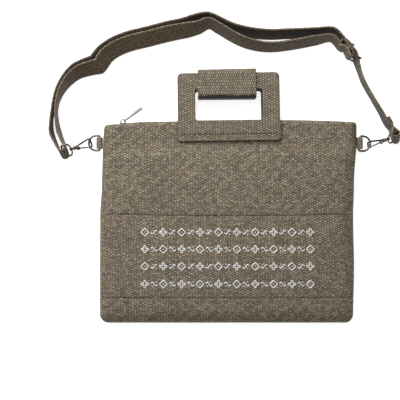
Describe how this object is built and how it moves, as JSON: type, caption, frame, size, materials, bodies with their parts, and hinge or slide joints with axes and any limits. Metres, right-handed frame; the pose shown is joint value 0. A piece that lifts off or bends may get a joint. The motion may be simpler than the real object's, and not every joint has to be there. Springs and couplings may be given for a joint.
{
  "type": "tallit bag",
  "caption": "Flat zip-top leather bag lying on its back, with frame handles held by a wrapped grip and a long shoulder strap on snap hooks.",
  "frame": {"origin": "on the back of the bag, in the plane that it lies on, under the middle of its body", "axes": "+X to the right of the front, +Y towards the zip and the handles, +Z out of the front; the bag lies on its back"},
  "size_m": [0.4988, 0.4399, 0.0316],
  "materials": {
    "leather": "embossed woven grain, satin",
    "strap": "embossed woven grain, satin",
    "metal": "polished dark nickel",
    "zip_tape": "woven",
    "zip_coil": "moulded coil"
  },
  "bodies": {
    "bag": {"front_upper_panel": "leather", "front_band_panel": "leather", "front_lower_panel": "leather", "back_panel": "leather", "zipper_chain": "zip_coil", "zipper_tape_back": "zip_tape", "zipper_tape_front": "zip_tape", "zipper_slider": "metal", "front_handle": "leather", "back_handle": "leather", "handle_wrap": "leather", "tab_left": "leather", "d_ring_left": "metal", "hook_left": "metal", "eye_left": "metal", "tab_right": "leather", "d_ring_right": "metal", "hook_right": "metal", "eye_right": "metal", "shoulder_strap": "strap", "strap_slide": "metal"},
    "pull": {"zipper_pull": "metal"},
    "gate_left": {"gate_left": "metal"},
    "gate_right": {"gate_right": "metal"}
  },
  "joints": [
    {"name": "pull_swing", "type": "hinge", "parent": "bag", "child": "pull", "pos_m": [-0.14756, 0.14145, 0.0155], "axis": [0, 0, 1], "range_deg": [-22, 118]},
    {"name": "gate_left_hinge", "type": "hinge", "parent": "bag", "child": "gate_left", "pos_m": [-0.21006, 0.10485, 0.01195], "axis": [0.2406, -0.5977, 0.7648], "range_deg": [0, 28], "stiffness_Nm_per_rad": 0.03, "springref_deg": -20.05},
    {"name": "gate_right_hinge", "type": "hinge", "parent": "bag", "child": "gate_right", "pos_m": [0.21786, 0.11303, 0.01164], "axis": [-0.206, 0.8235, -0.5287], "range_deg": [0, 28], "stiffness_Nm_per_rad": 0.03, "springref_deg": -20.05}
  ]
}
